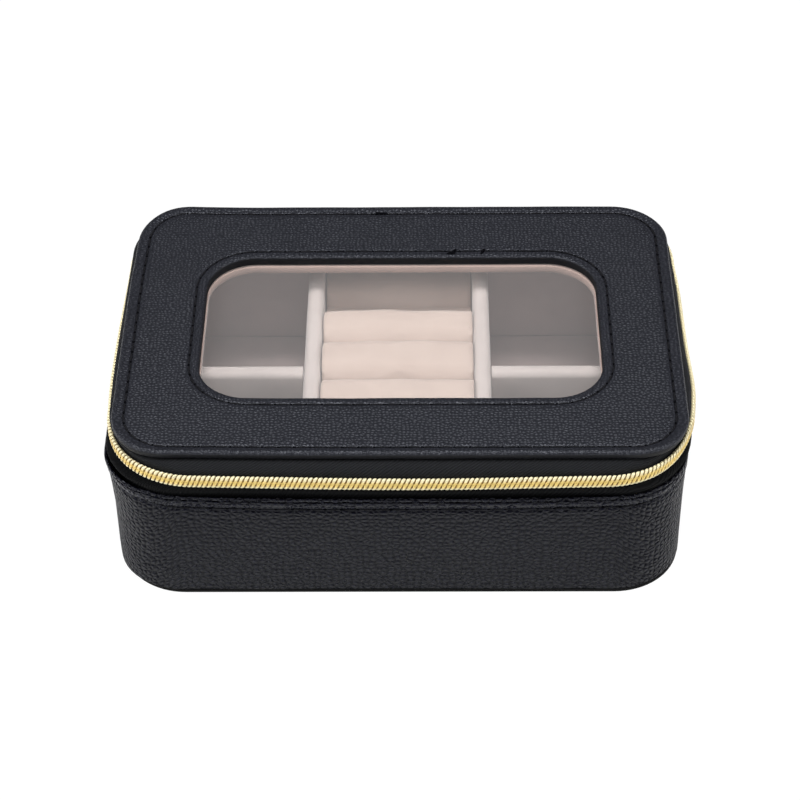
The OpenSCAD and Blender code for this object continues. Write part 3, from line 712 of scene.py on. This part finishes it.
def tape(name, points, starts, ends, loose, cloth):
    """A tape along the outline of the lid, open behind between two places along x.
    Only the upper one's sewn edge runs on to the hinge."""
    bm = skin(points)
    for edge in (starts, ends):
        cut(bm, (edge * mm, 0, 0), (1, 0, 0))
    middles = [(f, f.calc_center_median()) for f in bm.faces]
    gone = [f for f, at in middles if at.y > 0.055 and ends * mm < at.x < starts * mm]
    bmesh.ops.delete(bm, geom=gone, context="FACES")
    close(bm)
    if "upper" in name:
        sewn = skin(points)
        hinge_x, behind_y, above_z = 52.2, 30, 55.3
        for point, way in (((starts, 0, 0), (1, 0, 0)), ((hinge_x, 0, 0), (-1, 0, 0)),
                           ((0, behind_y, 0), (0, -1, 0)), ((0, 0, above_z), (0, 0, -1))):
            cut(sewn, Vector(point) * mm, way, away=True)
        join(bm, sewn)
    wall_map(bm, LID)
    if "lower" in name:
        settled(bm)
    for vert in bm.verts:
        x, y, z = vert.co / mm
        share = max(0, 1 - max(0, abs(z - 50) - 3) / loose)
        vert.co += slack(x, y) * share
        belly = 3.3 * near(x, y, (-90, -46), 24) + 2.4 * near(x, y, (86, -49), 22)
        vert.co += Vector((x * 0.7, y, 0)).normalized() * belly * mm * math.exp(-((z - 44.4) / 2.7) ** 2)
        vert.co += Vector((0, 0.12, 0.1)) * mm * noise.noise(vert.co / (9 * mm)) * share
    return piece(name, bm, cloth, "lid" if "upper" in name else "base", 50)


def both_sides(line, thick, sizes):
    """A closed section from its middle line [offset, height]: out along one side and back along the other."""
    one, other = [], []
    for i, (n, z) in enumerate(line):
        a, b = line[max(i - 1, 0)], line[min(i + 1, len(line) - 1)]
        way = Vector((b[0] - a[0], b[1] - a[1])).normalized()
        size = sizes(n, z)
        one.append((size, n - way.y * thick / 2, z + way.x * thick / 2))
        other.append((size, n + way.y * thick / 2, z - way.x * thick / 2))
    return one + other[::-1]


def lower_size(n, z):
    """The lower tape's outline: its corners go over from the base's radius to the teeth's."""
    share = (1 - math.cos(math.pi * min(1, max(0, (z - 41.2) / 5.8)))) / 2
    return LID[0], LID[1], 18 + 3 * (1 - share), 21 + 4.8 * share


def upper_size(n, z):
    """The upper tape's outline: its front corners go over from the lid's radius to the teeth's."""
    return (*LID, 18 + 7.8 * min(1, max(0, (n + 1.6) / 3.8)))


rise = [(-0.15, 34), (-0.15, 38), (-0.15, 42)]
rise += [(-0.15 + 2.35 * (1 - math.cos(math.pi * t / 10)) / 2, 42 + 5 * t / 10) for t in range(1, 11)]
rise += [(2.2, 48), (2.2, 49)]
drop = [(-9, 56.7), (-4, 56.7)]
drop += [(-1.6 + 3.8 * math.sin(math.pi * t / 20), 56.7 - 3.3 * (1 - math.cos(math.pi * t / 20))) for t in range(11)]
drop += [(2.2, 52.4), (2.2, 51)]
# The lower tape's webbing is a much darker copy of the upper one's: painted shade under the teeth.
lower_tape = tape("lower_tape", both_sides(rise, 0.5, lower_size), 69, END, 6, webbing("lower_webbing_painted_shade", 0.003))
upper_tape = tape("upper_tape", both_sides(drop, 0.5, upper_size), OPEN, END, 4, webbing("upper_webbing", 0.012))
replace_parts(lower_tape, "zip_tape_lower")
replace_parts(upper_tape, "zip_tape_upper")


# ---- Zip teeth ----
# Each row is one nylon filament, metallised in pale gold, wound in flat turns with a
# swollen head that locks between two turns of the other row.

gold, place = finish("gold_coil")
worn = place.noise(700, 3)
rubbed = place.node("ShaderNodeAttribute", {"attribute_name": "rubbed"}, out="Fac")
# Towards each turn's outer tip the gold goes over to pale cream: painted highlight on the tips, with the deeper gold
# between them as painted shade.
gilt = worn.mix((0.76, 0.52, 0.115), (0.87, 0.68, 0.24))
shade(place, base_color=rubbed.mix(gilt, (0.88, 0.79, 0.5)), metallic=0.25, roughness=0.28 + 0.16 * worn,
      normal=worn.bump(0.00003, 0.4))


def turn_shape(side):
    """One turn of the filament, from behind the row under it, up the front and back, on to the next turn."""
    bm = bmesh.new()
    wire = Matrix.Translation((0.75, -1.4, 0)) @ Matrix.Diagonal((0.5, 0.36, 1, 1))
    bmesh.ops.create_circle(bm, segments=6, radius=1, matrix=wire)
    bmesh.ops.spin(bm, geom=bm.verts[:] + bm.edges[:], cent=(0, 0, 0), axis=(1, 0, 0), dvec=(-0.125, 0, 0),
                   angle=2 * math.pi, steps=12)
    for vert in bm.verts:
        x, y, z = vert.co
        head = min(1, max(0, -z - 0.25)) * 0.55
        root = min(1, max(0, z - 0.1)) * 0.24
        vert.co = Vector((x * (1 + head + root) - 0.12 * z - 0.1 * head, y * 0.44, z * 0.8)) * mm
    bmesh.ops.recalc_face_normals(bm, faces=bm.faces[:])
    bmesh.ops.translate(bm, verts=bm.verts[:], vec=(0, 0, 0.95 * mm))
    # This rises to 1 at each turn's outer tip, where the painted highlight goes.
    layer = bm.verts.layers.float.new("rubbed")
    for vert in bm.verts:
        vert[layer] = min(1, max(0, (vert.co.z / mm - 0.85) / 0.6))
    if side < 0:
        bmesh.ops.scale(bm, verts=bm.verts[:], vec=(-1, 1, -1))
    mesh = bpy.data.meshes.new("turn")
    bm.to_mesh(mesh)
    bm.free()
    return mesh


OUT, PITCH = 3.25, 1.5  # how far the teeth stand out from the lid's edge, and their spacing
CHAIN = grow(COIL, OUT)


def row(side, first, last):
    """The turns of one row from one place on the outline to another, in millimetres from the middle of the back."""
    count = round((last - first) / PITCH)
    places = []
    for i in range(count):
        at = first + (i + (0.25 if side > 0 else 0.75)) * (last - first) / count
        set_at = spot(CHAIN, at, 0, 50)
        x, y, _ = set_at.translation / mm
        places.append(Matrix.Translation(slack(x, y)) @ set_at)
    return scatter(turn_shape(side), places)


cord, place = finish("filler_cord")
strand = place.noise(1500, 2)
shade(place, base_color=strand.mix((0.2, 0.11, 0.018), (0.34, 0.19, 0.035)), roughness=0.7,
      normal=strand.bump(0.00005, 0.5))
turns = [math.pi * step / 4 for step in range(8)]
for name, height in (("lower_filler_cord", 49.05), ("upper_filler_cord", 50.95)):
    points = [(COIL, OUT + 0.3 * math.cos(turn), height + 0.75 * math.sin(turn)) for turn in turns]
    tape(name, points, OPEN, END, 6, cord)

last = girth(CHAIN) + END
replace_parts(piece("lower_teeth", row(-1, OPEN, last), gold, "base", 80), "zip_teeth_lower")
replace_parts(piece("upper_teeth", row(1, OPEN, last), gold, "lid", 80), "zip_teeth_upper")
low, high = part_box("zip_end_teeth")
bm = row(1, low[0] / mm, OPEN - 0.3)
join(bm, row(-1, low[0] / mm, OPEN - 0.3))
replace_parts(piece("end_teeth", bm, gold, "base", 80), "zip_end_teeth")


# ---- Zip end, slider and pull ----
# The tape ends are clamped together beside the hinge. The slider is cast and plated, with
# a bridge whose round post carries the pull.

plated, place = finish("gold_plating")
swirl = place.noise(260, 4)
shade(place, base_color=swirl.mix((0.72, 0.52, 0.2), (0.88, 0.68, 0.34)), metallic=1.0, roughness=0.16 + 0.16 * swirl,
      normal=swirl.bump(0.00002, 0.3))
dress(plated, "zip_end_clamp", "slider_body", "slider_bridge", "zip_pull")
for name in ("zip_end_clamp", "slider_body", "slider_bridge", "zip_pull"):
    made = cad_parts[name]
    weld = made.modifiers.new("weld", "WELD")
    weld.merge_threshold = 0.00001
    soft = made.modifiers.new("soft", "BEVEL")
    soft.width, soft.segments, soft.limit_method, soft.angle_limit = 0.00018, 3, "ANGLE", math.radians(40)

tape_end, place = finish("zip_end_webbing")
weave = place.noise(2600, 2)
shade(place, base_color=weave.mix((0.006, 0.006, 0.007), (0.018, 0.018, 0.021)), roughness=0.75,
      normal=weave.bump(0.00006, 0.6))
dress(tape_end, "zip_end_tape")


# ---- Hinge ----
# One piece of leather crosses the back between lid and base, and one strip of velvet
# covers the joint inside.

def band(line, thick, half, cuts=40):
    """A band across the back: its section is a middle line [y, z] with a thickness, its length runs along x."""
    one, other = [], []
    for i, (y, z) in enumerate(line):
        a, b = Vector(line[max(i - 1, 0)]), Vector(line[min(i + 1, len(line) - 1)])
        way = (b - a).normalized()
        one.append((y - way.y * thick / 2, z + way.x * thick / 2))
        other.append((y + way.y * thick / 2, z - way.x * thick / 2))
    bm = bmesh.new()
    bmesh.ops.create_circle(bm, segments=2 * len(line), radius=1)
    for vert, (y, z) in zip(bm.verts, one + other[::-1]):
        vert.co = Vector((-half, y, z)) * mm
    bmesh.ops.contextual_create(bm, geom=bm.edges[:])
    pulled = bmesh.ops.extrude_face_region(bm, geom=bm.faces[:])["geom"]
    bmesh.ops.translate(bm, verts=[part for part in pulled if isinstance(part, bmesh.types.BMVert)],
                        vec=(2 * half * mm, 0, 0))
    for step in range(cuts):
        cut(bm, ((-half + 2 * half * (step + 1) / (cuts + 1)) * mm, 0, 0), (1, 0, 0))
    bm.normal_update()
    lengths = [0]
    for a, b in zip(line, line[1:]):
        lengths.append(lengths[-1] + math.dist(a, b))
    layer = bm.loops.layers.uv.new("grain")
    for face in bm.faces:
        for loop in face.loops:
            x, y, z = loop.vert.co / mm
            spots = sorted((math.dist((y, z), at), run) for at, run in zip(line, lengths))
            loop[layer].uv = (x, spots[0][1])
    return bm


fold = [(61.85, 34), (61.85, 41.2)]
fold += [(61.85 + 3.9 * (1 - math.cos(math.pi * t / 8)) / 2, 41.2 + 6.8 * t / 8) for t in range(1, 9)]
fold += [(65.75, 49), (65.75, 50), (65.75, 51), (65.75, 52)]
fold += [(60.4 + 5.35 * math.cos(math.pi * t / 16), 52.6 + 4.1 * math.sin(math.pi * t / 16)) for t in range(9)]
fold += [(56, 56.7), (53.2, 56.7)]
bm = band(fold, 0.85, 52)
ripple(bm, 0.1, 12)
hinge = piece("hinge_leather", bm, wall_leather, None, 60)
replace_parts(hinge, "hinge_leather_base_leaf", "hinge_leather_lid_leaf")
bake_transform(hinge)

inside = [(57.9, 5.8), (57.9, 12), (57.9, 20), (57.9, 32), (57.9, 44.5), (58.0, 45.6), (58.9, 46.0), (60.0, 46.1),
          (60.9, 47), (62.2, 48.6), (63.0, 49.5), (63.1, 50), (62.9, 50.5), (61.5, 51.2), (60, 51.9), (58.5, 52.5),
          (57, 52.65), (53, 52.65), (49.6, 52.65)]
bm = band(inside, 0.7, 54)
ripple(bm, 0.08, 12)
strip = piece("hinge_strip", bm, painted_shade_cream, None, 60)
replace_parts(strip, "hinge_lining_base_leaf", "hinge_lining_lid_leaf")
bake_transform(strip)


# ---- Lid panel ----
# Pebbled leather is drawn over the lid's board, round its outer edge and down into the
# window. Two rows of stitches sink into it, one near each edge.

# Below 59.3 mm the lid's outer side and the window's inner wall are darkened as painted shade.
lid_leather = leather("lid_leather", 1.15, 1.05, 0.27, (0.0045, 0.005, 0.0075), (0.0205, 0.0215, 0.028),
                      0.44, 0.4, 59.3)
WINDOW = (129, 70, 16)
MIDDLE = (0.5, -0.5)


def beyond(size, x, y):
    """How far (x, y) lies outside a rounded rectangle."""
    a, b = abs(x) - size[0] / 2 + size[2], abs(y) - size[1] / 2 + size[2]
    return math.hypot(max(a, 0), max(b, 0)) + min(max(a, b), 0) - size[2]


def on(size, *points):
    """The part of a section that follows one outline: the window's is a little off the middle."""
    return [(size, grown, height, MIDDLE if size is WINDOW else (0, 0)) for grown, height in points]


def lid_map(bm):
    """A map in millimetres with the lid's edges folded out flat."""
    layer = bm.loops.layers.uv.new("grain")
    for face in bm.faces:
        for loop in face.loops:
            x, y, z = loop.vert.co / mm
            if abs(x) < 76 and abs(y) < 48:
                _, way, _ = quarter(WINDOW, x - MIDDLE[0], y - MIDDLE[1])
                fold_out = z - 60
            else:
                _, way, _ = quarter(LID, x, y)
                fold_out = 60 - z
            loop[layer].uv = (x + way[0] * fold_out, y + way[1] * fold_out)


def drawn(bm):
    """The lid's leather was pulled askew a little at its left corners; everything sewn to it goes along."""
    for vert in bm.verts:
        x, y, z = vert.co / mm
        left = min(1, max(0, (-x - 60) / 25))
        vert.co.x += left * (0.65 + 0.85 * near(x, y, (-89, 48), 19)) * mm
        vert.co.y += (0.9 * near(x, y, (-84, 60), 18) + 0.7 * near(x, y, (-80, -60), 35)
                      + 0.6 * min(1, max(0, (-y - 58.5) / 3))) * mm
    return bm


groove = [(-0.8, 60.06), (-0.45, 60.0), (-0.25, 59.8), (0, 59.68), (0.25, 59.8), (0.45, 60.0), (0.8, 60.06)]
section = on(WINDOW, (0.0, 57.0), (0.0, 58.4), (0.02, 59.2), (0.15, 59.6), (0.45, 59.88), (0.9, 59.99), (1.7, 60.04))
section += on(WINDOW, *[(3.4 + n, z) for n, z in groove], (5.5, 60.0), (9, 60.0))
section += on(LID, (-10, 60.0), (-6, 60.0), *[(-3.5 + n, z) for n, z in groove])
section += on(LID, (-2.1, 60.15), (-1.5, 60.32), (-0.9, 60.4), (-0.4, 60.36), (0, 60.2), (0.27, 59.9), (0.38, 59.55),
              (0.38, 59.2), (0.24, 58.6), (0.04, 58.0), (-0.25, 57.45), (-0.9, 57.05), (-7, 57.0), (-7, 57.5),
              (-0.9, 57.5), (-0.9, 59.05))
section += on(WINDOW, (0.9, 59.05), (0.9, 57.5), (7.9, 57.5), (7.9, 57.0))
bm = skin(section)
ripple(bm, 0.1, 13)
lid_map(bm)
stretch(bm, lambda x, y, z: max(min(0.4, (beyond(LID, x, y) + 6) / 2),
                                min(0.35, (5.5 - beyond(WINDOW, x - MIDDLE[0], y - MIDDLE[1])) / 1.5)))
drawn(bm)
panel = piece("lid_panel", bm, lid_leather, "lid")
# A flat near-black for the lid panel's faces below 59.62 mm, its outer side, underside and window wall: painted shade.
edge_shade, place = finish("edge_painted_shade")
pores = place.noise(1400, 3)
shade(place, base_color=(0.0085, 0.0088, 0.0108), roughness=0.62, specular_ior_level=0.2,
      normal=pores.bump(0.00008, 0.5))
panel.data.materials.append(edge_shade)
for face in panel.data.polygons:
    face.material_index = int(face.center.z < 0.05962)
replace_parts(panel, "lid_leather")

bm = skin(on(LID, (-1.1, 59.0), (-1.1, 57.55)) + on(WINDOW, (1.1, 57.55), (1.1, 59.0)))
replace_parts(piece("lid_board", drawn(bm), board, "lid", 30), "lid_board")

lay = Matrix.Rotation(math.pi / 2, 4, "X")


def seam(size, grown, length, start, height, shift=(0, 0)):
    """Places of a row of stitches, or of the holes between them, on the lid."""
    line = grow(size, grown)
    count = round(girth(line) / length)
    places = [spot(line, (i + start) * girth(line) / count, 0, height, 0, shift) @ lay for i in range(count)]
    return [uneven(place, i * (start > 0)) for i, place in enumerate(places)]


def tail(x, y, turn):
    """The place of a thread end or a double stitch."""
    return Matrix.Translation((x * mm, y * mm, 0.0601)) @ Matrix.Rotation(turn, 4, "Z") @ lay


stitches = scatter(stitch_shape(4.1, 0.72, 0.6),
                   seam(LID, -3.5, 4.9, 0.5, 59.93) + seam(WINDOW, 3.4, 4.9, 0.5, 59.93, MIDDLE))
# Dark matte spindles at the lid's needle holes: painted shade.
holes = scatter(stitch_shape(1.0, 0.9, 0.36),
                seam(LID, -3.5, 4.9, 0, 59.9) + seam(WINDOW, 3.4, 4.9, 0, 59.9, MIDDLE))
tails = [(18.0, 37.4, 1.0), (17.2, 36.6, 0.2), (27.9, 37.5, 1.2), (-7.6, 58.5, 0.05), (-5.7, 58.4, -0.1)]
ends = scatter(stitch_shape(3.4, 1.1, 0.7), [tail(*at) for at in tails])
piece("lid_stitches", drawn(stitches), thread, "lid")
piece("lid_holes", drawn(holes), hole, "lid")
piece("lid_thread_ends", ends, hole, "lid")


# ---- Window pane and its velvet frame ----
# The pane is a clear film, gripped between the panel and a velvet-covered frame that
# holds it up from below.

film, place = finish("clear_film")
shade(place, base_color=(0.95, 0.93, 0.93), roughness=0.06, alpha=0.06, specular_ior_level=0.5)
dress(film, "window_pane")

low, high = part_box("lid_lining_frame")
FRAME = ((high[0] - low[0]) / mm, (high[1] - low[1]) / mm, 14.5)
section = on(WINDOW, (-0.4, 55.6), (-0.25, 56.1), (0.2, 56.38), (5, 56.4))
section += on(FRAME, (-5, 56.4), (-0.5, 56.3), (0, 55.6), (0, 54), (-0.5, 53.2), (-1.5, 53.0), (-12, 53.0))
section += on(WINDOW, (3, 53.0), (0.5, 53.1), (-0.2, 53.6), (-0.42, 54.4))
bm = skin(section)
ripple(bm, 0.08, 10)
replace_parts(piece("velvet_frame", bm, rose, "lid"), "lid_lining_frame")
